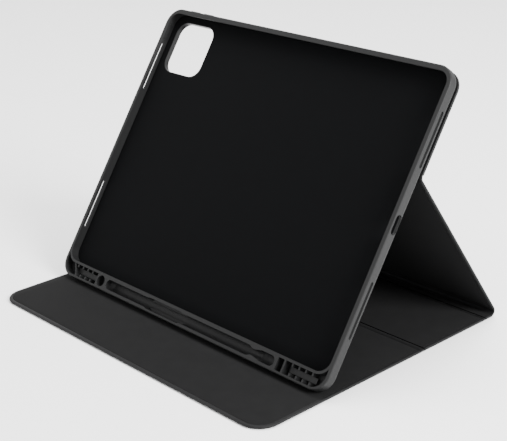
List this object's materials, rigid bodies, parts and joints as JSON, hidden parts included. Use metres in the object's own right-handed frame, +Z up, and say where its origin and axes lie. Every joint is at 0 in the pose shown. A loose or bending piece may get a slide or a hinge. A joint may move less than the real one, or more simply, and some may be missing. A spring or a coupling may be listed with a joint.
{
  "type": "tablet folio case",
  "caption": "Folding folio case with a soft tray for a tablet, a pencil channel under its lip and a leather strip that folds into a stand.",
  "frame": {"origin": "under the middle of the standing case, on the surface it stands on", "axes": "+X along the tablet's long side, +Y to the rear, +Z up"},
  "size_m": [0.2864, 0.2408, 0.1976],
  "materials": {
    "adhesive": "bonding film",
    "back_panel_skin": "fine grain",
    "board": "pressed board",
    "button_cover": "matte soft TPU",
    "camera_surround": "matte",
    "front_cover_lining": "microfibre",
    "front_cover_skin": "fine grain",
    "keeper_steel": "plain strip",
    "leather_web": "fine grain",
    "magnet": "nickel plated",
    "prop_lining": "microfibre",
    "prop_skin": "fine grain",
    "rear_cover_lining": "microfibre",
    "rear_cover_skin": "fine grain",
    "spine_lining": "microfibre",
    "spine_skin": "fine grain",
    "tray_lining": "microfibre",
    "tray_shell": "matte soft TPU"
  },
  "bodies": {
    "front_cover": {"crease_web": "leather_web", "front_cover_board": "board", "front_cover_lining": "front_cover_lining", "front_cover_skin": "front_cover_skin", "stand_magnet_1": "magnet", "stand_magnet_2": "magnet", "stand_magnet_3": "magnet", "stand_magnet_4": "magnet"},
    "rear_cover": {"rear_cover_board": "board", "rear_cover_lining": "rear_cover_lining", "rear_cover_skin": "rear_cover_skin"},
    "spine": {"cover_fold_web": "leather_web", "prop_fold_web": "leather_web", "spine_board": "board", "spine_lining": "spine_lining", "spine_skin": "spine_skin"},
    "prop": {"prop_board": "board", "prop_lining": "prop_lining", "prop_magnet_1": "magnet", "prop_magnet_2": "magnet", "prop_skin": "prop_skin"},
    "tray": {"back_adhesive": "adhesive", "back_fold_web": "leather_web", "back_panel_board": "board", "back_panel_skin": "back_panel_skin", "camera_surround": "camera_surround", "keeper_strip_1": "keeper_steel", "keeper_strip_2": "keeper_steel", "keeper_strip_3": "keeper_steel", "keeper_strip_4": "keeper_steel", "tray_lining": "tray_lining", "tray_shell": "tray_shell"},
    "volume_up_key": {"volume_up_cover": "button_cover"},
    "volume_down_key": {"volume_down_cover": "button_cover"},
    "power_key": {"power_cover": "button_cover"}
  },
  "joints": [
    {"name": "front_crease", "type": "hinge", "parent": "front_cover", "child": "rear_cover", "pos_m": [0, 0.03742, 0.001], "axis": [1, 0, 0], "range_deg": [-90, 0]},
    {"name": "cover_fold", "type": "hinge", "parent": "rear_cover", "child": "spine", "pos_m": [0, 0.10802, 0.001], "axis": [1, 0, 0], "range_deg": [-90, 0]},
    {"name": "prop_fold", "type": "hinge", "parent": "spine", "child": "prop", "pos_m": [0, 0.12002, 0.0025], "axis": [1, 0, 0], "range_deg": [-126.38, 0]},
    {"name": "stand_fold", "type": "hinge", "parent": "prop", "child": "tray", "pos_m": [0, 0.02898, 0.1292], "axis": [1, 0, 0], "range_deg": [0, 69.57]},
    {"name": "volume_up_press", "type": "slide", "parent": "tray", "child": "volume_up_key", "axis": [0, -0.5461, -0.8377], "range_m": [0, 0.0004], "stiffness_N_per_m": 1500},
    {"name": "volume_down_press", "type": "slide", "parent": "tray", "child": "volume_down_key", "axis": [0, -0.5461, -0.8377], "range_m": [0, 0.0004], "stiffness_N_per_m": 1500},
    {"name": "power_press", "type": "slide", "parent": "tray", "child": "power_key", "axis": [1, 0, 0], "range_m": [0, 0.0004], "stiffness_N_per_m": 1500}
  ],
  "couplings": [
    {"joint": "stand_fold", "follows": "prop_fold", "ratio": -0.5501}
  ]
}
